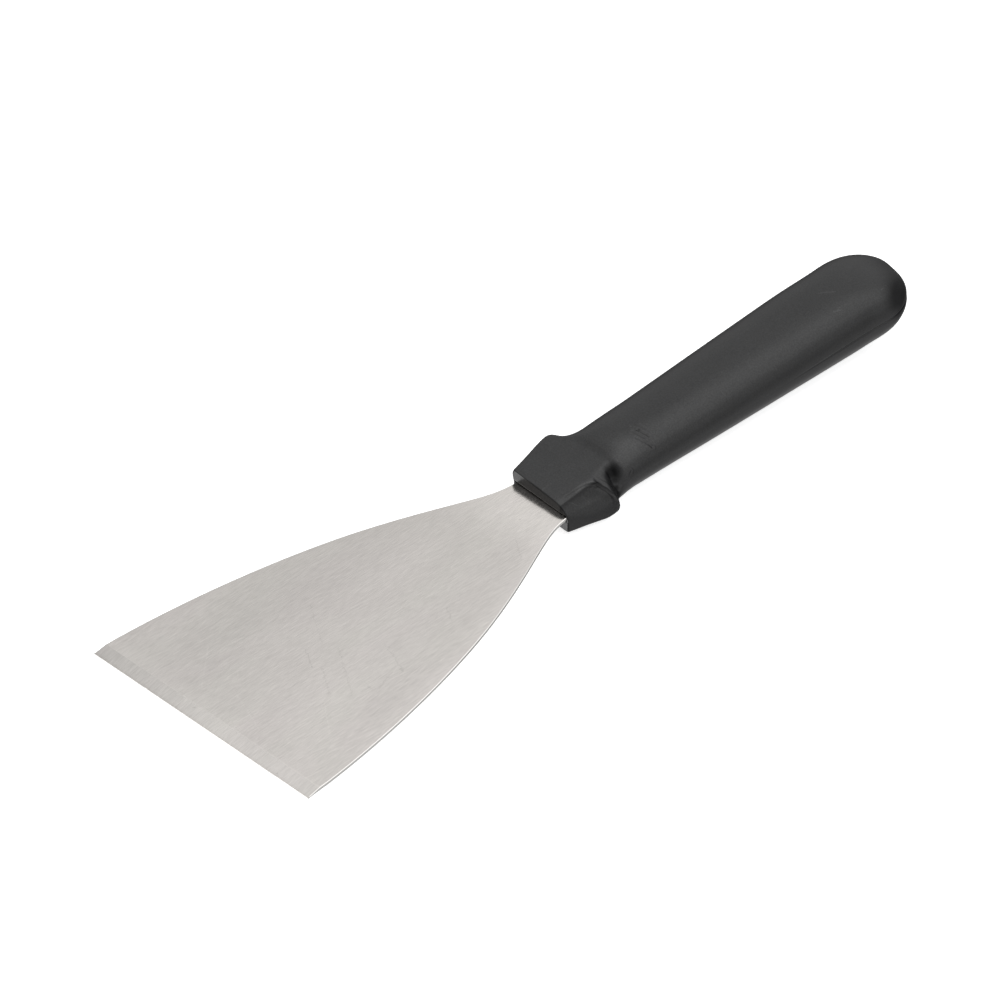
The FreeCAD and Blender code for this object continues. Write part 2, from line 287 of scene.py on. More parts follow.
def blade_rim(loop):
    """Vertices and normals of the rounded rim, ring by ring from the underside to the top."""
    before, after = np.roll(loop, 1, 0), np.roll(loop, -1, 0)
    normal = outward(after - before)
    normal_in, normal_out = outward(loop - before), outward(after - loop)
    cosine = np.clip((normal_in * normal_out).sum(1), -0.2, 1)
    mitre = (normal_in + normal_out) / (1 + cosine)[:, None]
    y = loop[:, 1]
    radius = np.where(y < EDGE_Y + 0.5, 0.05, 0.24)      # finer along the working edge
    verts, normals = [], []
    for top in (False, True):
        for k in range(RIM_STEPS + 1):
            angle = math.pi / 2 * (k / RIM_STEPS - (not top))
            inset = radius * (1 - math.cos(angle))
            rise = radius * (1 - abs(math.sin(angle)))
            z = top_z(y) - rise if top else bottom_z(y) + rise
            verts.append(np.column_stack([loop - mitre * inset[:, None], z]))
            level = np.full(len(loop), math.sin(angle))
            normals.append(np.column_stack([normal * math.cos(angle), level]))
    return np.concatenate(verts), np.concatenate(normals)


def inside(ring, point):
    """Whether a point lies inside a closed ring, by counting crossings."""
    x, y = ring[:, 0], ring[:, 1]
    next_x, next_y = np.roll(x, -1), np.roll(y, -1)
    crossing = (next_x - x) * (point[1] - y) / (next_y - y + 1e-15) + x
    hits = ((y > point[1]) != (next_y > point[1])) & (point[0] < crossing)
    return hits.sum() % 2 == 1


def blade_cap(ring, ring_start, new_start, top):
    """Triangles filling one side of the sheet, leaving the holes open.

    ring_start is the index of the ring's first vertex, new_start that of the first new one.
    Returns new vertices, faces, corner normals and each hole's vertex indices.
    """
    count = len(ring)
    points = [Vector(point) for point in ring]
    edges = [(i, (i + 1) % count) for i in range(count)]
    if top:
        # a line of points holds the back of the ground face
        half = blade_outline()
        width = np.interp(GRIND_Y, half[:, 1], half[:, 0]) - 0.27
        points += [Vector((x, GRIND_Y)) for x in np.linspace(-width, width, 60)]
        edges += [(i, i + 1) for i in range(count, len(points) - 1)]
    hole_points = []
    for hole_y in HOLES:
        rim = range(len(points), len(points) + HOLE_POINTS)
        for angle in np.linspace(0, 2 * math.pi, HOLE_POINTS + 1)[:-1]:
            x, y = HOLE_RADIUS * math.cos(angle), hole_y + HOLE_RADIUS * math.sin(angle)
            points.append(Vector((x, y)))
        edges += zip(rim, [*rim[1:], rim[0]])
        hole_points.append(rim)

    result = geometry.delaunay_2d_cdt(points, edges, [], 0, 1e-7)
    spots, triangles, sources = result[0], result[2], result[3]
    index, index_of, new = [], {}, []
    for (x, y), source in zip(spots, sources):
        if source and source[0] < count:
            index.append(ring_start + source[0])
        else:
            index.append(new_start + len(new))
            new.append((x, y, float(top_z(y) if top else bottom_z(y))))
        for s in source:
            index_of[s] = index[-1]

    faces, normals = [], []
    for triangle in triangles:
        centre = np.mean([[spots[s][0], spots[s][1]] for s in triangle], 0)
        reach = [centre[0] ** 2 + (centre[1] - hole_y) ** 2 for hole_y in HOLES]
        if not inside(ring, centre) or min(reach) < HOLE_RADIUS**2 * 0.98:
            continue
        face = [index[s] for s in triangle]
        slope = GRIND_SLOPE if top and centre[1] < GRIND_Y else 0
        normal = np.array((0, -slope, 1 if top else -1), float)
        faces.append(tuple(face if top else face[::-1]))
        normals += [normal / np.linalg.norm(normal)] * len(face)
    return new, faces, normals, [[index_of[s] for s in rim] for rim in hole_points]


def make_blade():
    loop = blade_loop()
    count = len(loop)
    verts, rim_normals = blade_rim(loop)
    faces = band_faces(2 * (RIM_STEPS + 1), count)
    normals = [rim_normals[corner] for face in faces for corner in face]
    hole_rims = []
    for top in (True, False):
        start = (2 * RIM_STEPS + 1) * count if top else 0
        ring = verts[start : start + count, :2]
        new, cap_faces, cap_normals, rims = blade_cap(ring, start, len(verts), top)
        verts = np.concatenate([verts, np.array(new)])
        faces += cap_faces
        normals += cap_normals
        hole_rims.append(rims)
    for upper, lower in zip(*hole_rims):
        for i in range(HOLE_POINTS):
            j = (i + 1) % HOLE_POINTS
            faces.append((upper[i], upper[j], lower[j], lower[i]))
            angle = 2 * math.pi * (i + 0.5) / HOLE_POINTS
            normals += [(-math.cos(angle), -math.sin(angle), 0)] * 4
    thing = add_piece("blade_sheet", verts, faces)
    # validation may have dropped a face, and the normals would then no longer match
    if len(normals) == len(thing.data.loops):
        thing.data.normals_split_custom_set([tuple(map(float, normal)) for normal in normals])
    return thing


# ---- Handle: one moulding, from polar sections square to Y round the sheet's middle --------
GRIP_Y = [146, 170, 195, 220, 240]
GRIP_HALF_WIDTH = natural_spline(GRIP_Y, [10.72, 11.305, 11.878, 12.427, 12.924])
GRIP_HALF_DEPTH = natural_spline(GRIP_Y, [7.149, 7.741, 8.311, 8.749, 9.027])

# Collar stations: y, half width right and left, height above and below the middle,
# superellipse powers (top right, top left, bottom right, bottom left),
# x where the right shoulder starts to fall, power of that fall
COLLAR = np.array([
    (119.0, 10.20, 10.35, 3.40, 4.15, 30.0, 30.0, 30.0, 8.0, 5.00, 3.4),
    (120.0, 10.45, 10.60, 3.52, 4.20, 30.0, 30.0, 30.0, 8.0, 5.20, 3.2),
    (122.5, 11.00, 11.05, 3.82, 4.36, 30.0, 34.0, 30.0, 8.0, 5.45, 2.5),
    (125.5, 11.62, 11.65, 4.12, 4.54, 30.0, 36.0, 30.0, 8.0, 5.65, 2.0),
    (128.2, 12.20, 12.30, 4.38, 4.74, 30.0, 36.0, 30.0, 8.0, 6.00, 1.75),
    (129.6, 12.50, 12.70, 4.48, 4.84, 30.0, 36.0, 30.0, 8.0, 6.60, 1.75),
    (130.8, 12.76, 13.02, 4.56, 4.90, 30.0, 36.0, 30.0, 8.0, 7.20, 1.75),
    (131.7, 12.96, 13.26, 4.60, 4.94, 30.0, 36.0, 30.0, 8.0, 7.80, 1.8),
    (132.6, 13.16, 13.46, 4.64, 4.96, 30.0, 36.0, 24.0, 8.0, 8.80, 1.9),
    (133.6, 13.46, 13.60, 4.68, 4.96, 28.0, 34.0, 14.0, 8.0, 11.0, 2.2),
    (134.5, 13.80, 13.56, 4.70, 4.96, 26.0, 30.0, 8.5, 8.0, 13.4, 3.0),
    (135.3, 13.97, 13.30, 4.74, 4.92, 22.0, 22.0, 6.5, 7.0, 13.5, 3.0),
    (136.1, 13.12, 12.75, 4.82, 4.92, 16.0, 11.0, 5.5, 6.0, 13.5, 3.0),
    (137.0, 11.55, 12.08, 5.00, 5.06, 11.0, 6.5, 5.0, 5.0, 14.0, 3.0),
    (138.4, 10.84, 11.40, 5.42, 5.44, 4.60, 4.3, 4.0, 4.0, 15.0, 3.0),
    (140.2, 10.72, 10.98, 6.02, 6.02, 2.70, 3.2, 3.2, 3.2, 16.0, 3.0),
    (142.2, 10.66, 10.76, 6.52, 6.52, 2.46, 2.7, 2.7, 2.7, 17.0, 3.0),
    (144.5, 10.68, 10.70, 6.92, 6.92, 2.41, 2.45, 2.45, 2.45, 18.0, 3.0),
    (147.0, 10.742, 10.742, 7.172, 7.172, 2.406, 2.406, 2.406, 2.406, 19.5, 3.0),
])
COLLAR_CURVES = [monotone_curve(COLLAR[:, 0], column) for column in COLLAR.T[1:]]

# Plane z + pitch * x = height that trims the crest on the right: y, height, pitch
CREST_PLANES = np.array([
    (128.0, 12.0, 0.51), (130.0, 8.6, 0.51), (131.5, 7.60, 0.51), (133.0, 7.45, 0.52),
    (134.0, 7.60, 0.56), (135.0, 8.50, 0.72), (136.0, 10.1, 0.98), (137.0, 10.7, 1.06),
    (138.2, 11.2, 0.98), (139.6, 12.8, 0.80), (141.0, 15.5, 0.60),
])
CREST_HEIGHT = monotone_curve(CREST_PLANES[:, 0], CREST_PLANES[:, 1])
CREST_PITCH = monotone_curve(CREST_PLANES[:, 0], CREST_PLANES[:, 2])


def butt_taper(y, start, power):
    share = np.clip((y - start) / (BUTT_TIP - start), 0, 1)
    return (1 - share**power) ** (1 / power)


def blunt_min(radius, limit, power):
    """The lesser of two radii, with the corner between them rounded."""
    return radius * (1 + (radius / limit) ** power) ** (-1 / power)


def shoulder_radius(across, up, half_width, height, ridge, fall):
    """Radius, by bisection, of the curve from the ridge down to the right bottom edge."""
    drop = 3.9
    rise = (height + drop) / (1 - (ridge / half_width) ** fall) ** (1 / fall)
    low, high = np.zeros_like(across), np.full_like(across, 40.0)
    for _ in range(34):
        middle = (low + high) / 2
        sideways = (np.maximum(middle * across, 0) / half_width) ** fall
        over = sideways + (np.maximum(middle * up + drop, 0) / rise) ** fall > 1
        high = np.where(over, middle, high)
        low = np.where(over, low, middle)
    return np.where(across > 0.02, (low + high) / 2, 1e3)


def section(y, angle):
    """Polar radius at station y; angle 0 is +X, a quarter turn is up."""
    across, up = np.cos(angle), np.sin(angle)
    if y <= COLLAR[-1, 0]:
        measures = [curve(y) for curve in COLLAR_CURVES]
        width_r, width_l, height, depth = measures[:4]
        power_tr, power_tl, power_br, power_bl, ridge, fall = measures[4:]
    else:
        width_r = width_l = max(float(GRIP_HALF_WIDTH(y) * butt_taper(y, 233.202, 2.171)), 1e-3)
        height = depth = max(float(GRIP_HALF_DEPTH(y) * butt_taper(y, 222.964, 2.325)), 1e-3)
        power = 2.406 + (2.829 - 2.406) * float(np.clip((y - 150) / 85, 0, 1))
        power_tr = power_tl = power_br = power_bl = power
        ridge = math.inf
    right = 0.5 + 0.5 * np.tanh(across / 0.06)
    top = 0.5 + 0.5 * np.tanh(up / 0.06)
    width = width_r * right + width_l * (1 - right)
    reach = height * top + depth * (1 - top)
    power = (
        power_tr * right * top
        + power_tl * (1 - right) * top
        + power_br * right * (1 - top)
        + power_bl * (1 - right) * (1 - top)
    )
    radius = ((np.abs(across) / width) ** power + (np.abs(up) / reach) ** power) ** (-1 / power)
    if ridge < width_r * 0.995:
        # the shoulder right of the ridge falls away in one long curve
        limit = shoulder_radius(across, up, width_r, height, ridge, fall)
        radius = blunt_min(radius, limit, 30.0)
    if 128.0 < y < 142.0:
        # the crest on the right runs outwards and down, and falls behind into a hollow
        facing = CREST_PITCH(y) * across + up
        limit = np.where(facing > 0.05, CREST_HEIGHT(y) / np.maximum(facing, 0.05), 1e3)
        radius = blunt_min(radius, limit, 30.0 - 17.0 * float(ease(y, 134.6, 137.2)))
    if y < 128:
        # the left wall is barrelled at the front
        barrel = 0.55 * bell(radius * up, width=1.15, centre=1.9)
        radius = radius + barrel * (across < 0) * (1 - float(ease(y, 121, 128)))
    return radius


def even_ring(y, inset=0.0):
    """x, z round the section from +X, evenly spaced in each quarter.

    The four axis points are fixed, which keeps the spacing in step from ring to ring.
    """
    quarter = 720
    angle = np.linspace(0, 2 * math.pi, 4 * quarter + 1)
    radius = section(y, angle) - inset
    x, z = radius * np.cos(angle), radius * np.sin(angle)
    parts = []
    for start in range(0, 4 * quarter, quarter):
        part_x, part_z = x[start : start + quarter + 1], z[start : start + quarter + 1]
        length = np.r_[0, np.cumsum(np.hypot(np.diff(part_x), np.diff(part_z)))]
        marks = np.linspace(0, length[-1], RING_POINTS // 4 + 1)[:-1]
        parts.append(np.column_stack([
            np.interp(marks, length, part_x), np.interp(marks, length, part_z),
        ]))
    return np.concatenate(parts)


def ring_at(y, outline):
    """Stand an (x, z) outline at station y."""
    return np.column_stack([outline[:, 0], np.full(len(outline), y), outline[:, 1]])


def slot_rings(outer):
    """Slot for the tang, from its blind end out to its lip on the front face."""
    x, z = outer.T
    across = x / np.where(x > 0, x.max(), -x.min())
    up = z / np.where(z > 0, z.max(), -z.min())
    across = np.sign(across) * np.minimum(1, np.abs(across) * 1.02)
    up = np.sign(up) * np.minimum(1, np.abs(up) * 2.4)

    blind_end = TANG_END + 0.15
    sizes = [(0.4, 0.3, blind_end)]                      # half width, half height, y
    for degrees in (75, 55, 35, 15):
        angle = math.radians(degrees)
        back = SLOT_HALF_WIDTH * (1 - math.sin(angle))
        sizes.append((SLOT_HALF_WIDTH * math.cos(angle) + 0.02, 0.5, blind_end - back))
    sizes += [
        (SLOT_HALF_WIDTH, 0.5, blind_end - SLOT_HALF_WIDTH),
        (SLOT_HALF_WIDTH, 0.5, NECK + 17),
        (8.6, 0.5, SHOULDER_Y + 0.2),
        (9.75, 0.56, SHOULDER_Y + 0.15),
    ]
    rings = [
        ring_at(y, np.column_stack([across * half_width, up * half_height]))
        for half_width, half_height, y in sizes
    ]
    # the mouth is uneven, and wider at its right end
    mouth_x = across * 9.95
    gap = 0.60 + 0.035 * wander(mouth_x, seed=8, waves=5, low=0.05, high=0.35)
    gap = gap + 0.28 * ease(mouth_x, 7.0, 9.6)
    mouth = np.column_stack([mouth_x, up * gap])
    lip = np.column_stack([mouth_x * 1.012, mouth[:, 1] + np.sign(mouth[:, 1]) * 0.12])
    rings += [ring_at(FACE_Y + 0.5, mouth), ring_at(FACE_Y + 0.12, mouth), ring_at(FACE_Y, lip)]
    return rings, lip


def outer_stations():
    """Y of the outer rings: close at the collar, open on the grip, closing up to the tip."""
    y = FACE_Y + FACE_ROUND
    stations = [y]
    for step, stop in ((0.22, 158), (0.75, 226)):
        while y < stop:
            y += step
            stations.append(y)
    tail = y + (BUTT_TIP - y) * np.sin(np.linspace(0, 1, 46)[1:-1] * math.pi / 2) ** 0.9
    stations += list(tail[tail > y + 0.2])
    end = BUTT_TIP - 0.004
    return [station for station in stations if station < end] + [end]


def handle_rings():
    """All rings from the slot's blind end to the butt, and how many come before the outside."""
    outer = even_ring(FACE_Y + FACE_ROUND, FACE_ROUND)
    rings, lip = slot_rings(outer)
    for share in (0.12, 0.3, 0.5, 0.7, 0.88, 0.97):
        rings.append(ring_at(FACE_Y, lip * (1 - share) + outer * share))
    for degrees in (90, 68, 45, 22):
        angle = math.radians(degrees)
        y = FACE_Y + FACE_ROUND * (1 - math.sin(angle))
        rings.append(ring_at(y, even_ring(y, FACE_ROUND * (1 - math.cos(angle)))))
    inner = len(rings)
    rings += [ring_at(y, even_ring(y)) for y in outer_stations()]
    return np.array(rings), inner


def soften_neck(points, inner):
    """Blur the right of the neck, so the collar's back runs softly into the grip."""
    ring_y = points[inner:, 0, 1]
    first = inner + int(np.argmax(ring_y > 134.8))
    last = inner + int(np.argmax(ring_y > 150.0))
    patch = points[first:last]
    x, y, z = np.moveaxis(patch, -1, 0)
    blur = bell(x, 3.4, centre=8.7) * bell(y, 3.3, centre=139.2) * bell(z, 4.0, centre=2.6)
    blur = blur * ease(y, 135.5, 136.7) * ease(z, -3.0, -1.5) * ease(y, 149.8, 147.0)
    blur[0] = blur[-1] = 0
    for _ in range(170):
        total = np.roll(patch, 1, 0) + np.roll(patch, -1, 0)
        total = total + np.roll(patch, 1, 1) + np.roll(patch, -1, 1)
        patch = patch + 0.5 * blur[..., None] * (total / 4 - patch)
    points[first:last] = patch


# Crest of the collar in plan, on its right: x, y
CREST_PATH = (
    (5.3, 120.5), (5.5, 123.5), (5.7, 126.5), (6.0, 128.2), (6.6, 129.6),
    (7.4, 130.8), (8.6, 132.0), (10.2, 133.1), (12.6, 134.2),
)
# Cold flow where the streams of plastic met, over the first hole: plan path, depth
COLD_FLOWS = (
    (((1.6, 150.8), (3.6, 151.3), (6.6, 152.3)), 0.12),
    (((3.0, 150.1), (4.8, 150.4), (6.6, 151.0)), 0.10),
    (((5.0, 149.2), (7.0, 150.0), (9.0, 151.1)), 0.09),
    (((2.4, 153.0), (4.4, 153.2)), 0.06),
)
# Fold in the skin on the right of the neck: y, z
NECK_FOLD = ((137.9, 0.4), (139.2, 0.9), (140.6, 1.6), (142.0, 2.6))


def parting_line(x, y, z):
    """A shallow groove along each side with a step below it, strongest at the butt."""
    along = ease(y, 196, 226)
    line = bell(z, 0.16)
    lift = -0.17 * line * (x > 0) * (0.04 + 0.96 * along)
    lift -= 0.05 * line * (x < 0) * (0.06 + 0.94 * along)
    return lift + 0.09 * ease(z, 0.05, -0.45) * along


def crest_lines(x, y, z, top):
    """Flow lines following the collar's crest, and arcs round the collar's right top."""
    distance, outer_side = path_distance(x, y, CREST_PATH)
    ridge = ease(y, 121.0, 123.0) * (1 - ease(y, 131.0, 132.5)) * (x > 4.5) * (z > -1.0)
    lift = 0.130 * bell(distance, 0.30) * ridge * (z > 2.5)
    lift -= 0.120 * bell(distance, 0.18, centre=0.62) * ridge * outer_side
    fade = ease(y, 126.5, 129.0) * (z > -1.5) * (x > 4.5) * outer_side
    lift -= 0.080 * bell(distance, 0.17, centre=0.55) * fade * ease(x, 7.0, 8.5)
    lift -= 0.070 * bell(distance, 0.18, centre=1.15) * fade * ease(x, 6.5, 8.0)
    reach = np.hypot(x - 6.5, y - 128.0)
    near = ease(x, 4.6, 3.0) * ease(y, 127.0, 130.0) * top
    for radius, depth in ((6.3, 0.035), (7.3, 0.045), (8.0, 0.03)):
        lift -= depth * bell(reach, 0.20, centre=radius) * near
    return lift


def neck_marks(x, y, z, top):
    """Cold flow with a pit and a swirl, and a fold on the right of the neck."""
    lift = np.zeros_like(x)
    for path, depth in COLD_FLOWS:
        distance, _ = path_distance(x, y, path)
        lift -= depth * bell(distance, 0.30) * top
        lift += 0.45 * depth * bell(distance, 0.30, centre=0.65) * top
    lift -= 0.24 * bell(x, 0.34, centre=3.5) * bell(y, 0.34, centre=151.5) * top
    lift -= 0.08 * bell(np.hypot(x - 5.0, (y - 151.2) * 0.75), 3.4) * top
    distance, _ = path_distance(y, z, NECK_FOLD)
    lift -= 0.08 * bell(distance, 0.20) * (x > 8)
    return lift + 0.04 * bell(distance, 0.25, centre=0.5) * (x > 8)


def skin_unevenness(x, y, z):
    draws = np.random.RandomState(11)
    lift = np.zeros_like(x)
    for _ in range(26):
        rate_x, rate_y, rate_z = draws.normal(0, 0.10), draws.normal(0, 0.05), draws.normal(0, 0.10)
        phase = draws.uniform(0, 6.28)
        lift += 0.006 * np.sin(rate_x * x + rate_y * y + rate_z * z + phase) * (y > 140)
    return lift


def add_moulding_marks(points, inner):
    """Move the outside along its normals."""
    around = np.roll(points, -1, 1) - np.roll(points, 1, 1)
    normals = np.cross(np.gradient(points, axis=0), around)
    normals /= np.maximum(np.linalg.norm(normals, axis=2), 1e-12)[..., None]
    normals = normals[inner:]
    x, y, z = np.moveaxis(points[inner:], -1, 0)
    top = ease(normals[..., 2], 0.2, 0.7)
    lift = parting_line(x, y, z)
    # sink behind the collar where the grip's shoulder starts
    lift -= 0.22 * bell(x, 1.60, centre=7.6) * bell(y, 1.10, centre=137.3) * ease(z, 0.0, 1.2)
    lift += crest_lines(x, y, z, top) + neck_marks(x, y, z, top) + skin_unevenness(x, y, z)
    points[inner:] += normals * lift[..., None]


def lean_moulding(points):
    """The moulding isn't quite true: uneven about its middle, leaning in plan and rolled."""
    x, y, z = np.moveaxis(points, -1, 0)
    left = 1 - 0.028 * ease(y, 148, 162) - 0.045 * bell(y, 9, centre=230)
    right = 1 + 0.042 * ease(y, 230, 240) - 0.012 * bell(y, 14, centre=155)
    x = np.where(x < 0, x * left, x * right)
    # the right of the butt falls short
    short = ease(y, 239.0, 249.0) * ease(x, -3.5, 4.0) * (1 - 0.72 * ease(x, 5.0, 12.0))
    y = y - 0.95 * short
    # the collar's top falls to the right
    z = z - 0.046 * x * ease(z, 0.3, 2.4) * (1 - ease(y, NECK + 5.0, NECK + 17.0))
    # the front leans in plan, and the widest line leans back upwards
    plan_lean = SKEW * x * (1 - ease(y, NECK + 1.0, NECK + 15.0))
    y = y - plan_lean + 0.30 * bell(y, 6.0, centre=134.5) * z
    return np.stack([x, y, z + ZM], -1)


def make_handle():
    points, inner = handle_rings()
    soften_neck(points, inner)
    add_moulding_marks(points, inner)
    points = lean_moulding(points)
    rings, count = points.shape[:2]
    ends = [points[0].mean(0), points[-1].mean(0)]
    verts = np.concatenate([points.reshape(-1, 3), ends])
    faces = band_faces(rings, count)
    blind, tip = rings * count, rings * count + 1
    last = (rings - 1) * count
    for i in range(count):
        j = (i + 1) % count
        faces.append((j, i, blind))
        faces.append((last + i, last + j, tip))
    thing = add_piece("handle_moulding", verts, faces)
    # rings that run towards the butt make faces that point inwards
    thing.data.flip_normals()
    thing.data.update()
    return thing


# ---- Shader building -----------------------------------------------------------------------
class Signal:
    """An output socket; each arithmetic operator adds one Math node."""

    def __init__(self, graph, socket):
        self.graph = graph
        self.socket = socket

    def math(self, operation, *others):
        inputs = dict(enumerate((self, *others)))
        return self.graph.add("ShaderNodeMath", inputs, operation=operation)

    def __add__(self, other):
        return self.math("ADD", other)

    def __sub__(self, other):
        return self.math("SUBTRACT", other)

    def __rsub__(self, number):
        return self.graph.add("ShaderNodeMath", {0: number, 1: self}, operation="SUBTRACT")

    def __mul__(self, other):
        return self.math("MULTIPLY", other)

    def __abs__(self):
        return self.math("ABSOLUTE")

    def at_least(self, other):
        return self.math("MAXIMUM", other)

    def at_most(self, other):
        return self.math("MINIMUM", other)

    def fade(self, to, span=None, mm=None, soft=False):
        """Map span, or mm in millimetres, onto to and hold its ends; soft eases them."""
        start, end = span or [length * MM for length in mm]
        return self.graph.add(
            "ShaderNodeMapRange",
            {"Value": self, "From Min": start, "From Max": end, "To Min": to[0], "To Max": to[1]},
            output="Result",
            interpolation_type="SMOOTHSTEP" if soft else "LINEAR",
        )

    def ramp(self, *stops):
        """Colour ramp with stops of (position, colour)."""
        node = self.graph.place("ShaderNodeValToRGB", {"Fac": self})
        elements = node.color_ramp.elements
        while len(elements) < len(stops):
            elements.new(0.5)
        for element, (position, colour) in zip(elements, stops):
            element.position = position
            element.color = (*colour, 1)
        return Signal(self.graph, node.outputs["Color"])

    def against(self, operation, vector):
        """DOT_PRODUCT with, or DISTANCE from, a constant vector."""
        inputs = {0: self, 1: vector}
        return self.graph.add("ShaderNodeVectorMath", inputs, "Value", operation=operation)

    def separate(self):
        node = self.graph.place("ShaderNodeSeparateXYZ", {0: self})
        return [Signal(self.graph, socket) for socket in node.outputs]


class Graph:
    """Adds nodes to an emptied tree."""

    def __init__(self, tree):
        self.tree = tree
        tree.nodes.clear()

    def place(self, kind, inputs=None, **settings):
        """Add a node; inputs are values, or Signals to link."""
        node = self.tree.nodes.new(kind)
        for name, value in settings.items():
            setattr(node, name, value)
        for key, value in (inputs or {}).items():
            if isinstance(value, Signal):
                self.tree.links.new(value.socket, node.inputs[key])
            else:
                node.inputs[key].default_value = value
        return node

    def add(self, kind, inputs=None, output=0, **settings):
        """Add a node and return one of its outputs."""
        return Signal(self, self.place(kind, inputs, **settings).outputs[output])

    def coordinates(self, kind="Object"):
        return self.add("ShaderNodeTexCoord", output=kind)

    def noise(self, scale, offset=(0, 0, 0), turn=0.0, detail=2.0, rough=0.5, distortion=0.0):
        """Noise in object space, stretched by scale along each axis and turned about Z."""
        place = {
            "Scale": scale, "Location": offset, "Rotation": (0, 0, turn),
            "Vector": self.coordinates(),
        }
        inputs = {
            "Scale": 1.0, "Detail": detail, "Roughness": rough, "Distortion": distortion,
            "Vector": self.add("ShaderNodeMapping", place, "Vector"),
        }
        return self.add("ShaderNodeTexNoise", inputs, "Fac")

    def mix(self, first, second, factor=1.0, blend="MULTIPLY"):
        """Mix two colours."""
        first, second = [(*c, 1) if isinstance(c, tuple) else c for c in (first, second)]
        inputs = {"Factor": factor, 6: first, 7: second}
        return self.add("ShaderNodeMix", inputs, 2, data_type="RGBA", blend_type=blend)

    def bump(self, height, strength, distance):
        inputs = {"Strength": strength, "Distance": distance, "Height": height}
        return self.add("ShaderNodeBump", inputs, "Normal")

    def near(self, centre, radii, weight):
        """Weight within the lesser radius of a point, fading to 0 at the greater; in mm."""
        place = tuple(length * MM for length in centre)
        distance = self.coordinates().against("DISTANCE", place)
        return distance.fade(mm=radii, to=(weight, 0.0), soft=True)

    def dashes(self, x, y, marks, stray, seed):
        """Short lines, bent by up to about half of stray. Marks: x, y, x, y, width in mm, weight."""
        size = (900, 900, 900)
        stray_x = self.noise(size, (seed, 0, 0)) - 0.5
        stray_y = self.noise(size, (0, seed + 3.3, 0)) - 0.5
        x = x + stray_x * (stray * MM)
        y = y + stray_y * (stray * MM)
        total = None
        for *lengths, weight in marks:
            start_x, start_y, end_x, end_y, width = (length * MM for length in lengths)
            run = max(math.hypot(end_x - start_x, end_y - start_y), 1e-6)
            ux, uy = (end_x - start_x) / run, (end_y - start_y) / run
            along = x * ux + y * uy - (start_x * ux + start_y * uy)
            aside = abs(y * ux - x * uy - (start_y * ux - start_x * uy))
            beyond = (abs(along - run / 2) - run / 2).at_least(0.0)
            distance = aside + beyond
            mark = distance.fade(span=(width * 0.25, width), to=(weight, 0.0), soft=True)
            total = mark if total is None else total + mark
        return total


def new_material(name):
    material = bpy.data.materials.new(name)
    material.use_nodes = True
    return material, Graph(material.node_tree)


# ---- Materials -----------------------------------------------------------------------------
UP, DOWN = (0.0, 1.0), (1.0, 0.0)            # the two plain directions of a fade

# Marks on the steel: x, y, x, y, width, weight
DARK_HAIRLINES = (
    (-1.7, 37.6, 4.9, 33.6, 0.20, 0.10), (6.7, 35.3, 15.3, 29.6, 0.18, 0.09),
    (4.1, 43.4, 19.2, 33.5, 0.17, 0.10), (11.8, 52.6, 22.2, 48.5, 0.18, 0.10),
    (20.1, 46.5, 22.2, 40.2, 0.18, 0.09), (12.4, 73.5, 17.0, 70.5, 0.20, 0.11),
    (6.5, 104.0, 12.8, 99.4, 0.24, 0.08), (18.2, 39.3, 21.4, 38.2, 0.18, 0.09),
    (-12.5, 49.9, 0.5, 41.4, 0.15, 0.07), (26.16, 0.94, 26.3, 0.9, 0.40, 0.22),
    (0.96, 110.7, 1.2, 110.6, 0.36, 0.14), (-5.74, 3.05, -4.9, 3.3, 0.30, 0.15),
)
PALE_HAIRLINES = (
    (-20.0, 22.0, -9.0, 9.0, 0.16, 0.05), (-27.5, 30.0, -24.0, 16.0, 0.15, 0.05),
    (2.0, 61.0, 5.5, 84.0, 0.14, 0.045), (-6.0, 15.5, 12.0, 8.5, 0.15, 0.05),
    (-14.0, 70.0, -11.5, 52.0, 0.14, 0.04), (16.0, 27.0, 30.0, 16.0, 0.16, 0.05),
)
# Scuffs and flecks on the plastic: x, y, x, y, width, weight
SCUFFS = (
    (-0.5, 223.0, 2.4, 226.8, 0.30, 0.016), (7.0, 220.8, 7.8, 223.0, 0.26, 0.018),
    (6.5, 222.4, 7.1, 223.4, 0.22, 0.013), (8.8, 237.2, 8.6, 238.4, 0.24, 0.018),
    (8.2, 239.3, 8.3, 239.4, 0.22, 0.016), (10.3, 195.8, 10.3, 195.9, 0.26, 0.022),
    (3.2, 182.5, 3.2, 182.6, 0.24, 0.016), (-3.4, 159.3, -3.4, 159.4, 0.26, 0.016),
    (-1.3, 154.5, -1.3, 154.6, 0.26, 0.014), (7.4, 122.0, 8.9, 123.6, 0.24, 0.018),
    (8.0, 126.2, 9.9, 127.2, 0.20, 0.014), (-4.0, 196.0, -3.6, 203.0, 0.14, 0.004),
    (1.5, 206.0, 2.4, 214.0, 0.14, 0.004), (5.0, 168.0, 5.6, 176.0, 0.14, 0.004),
)


def right_side_inset(x, y):
    """Distance in from the blade's right side, with the outline held in a ramp."""
    outline = blade_outline()
    ramp_width, ramp_length = 40, 120
    stops = []
    for station in (8.0, 24.0, 40.0, 55.0, 68.0, 80.0, 90.0, 100.0, 112.0):
        width = float(np.interp(station, outline[:, 1], outline[:, 0])) / ramp_width
        stops.append((station / ramp_length, (width, width, width)))
    return (y * (1 / (ramp_length * MM))).ramp(*stops) * (ramp_width * MM) - x


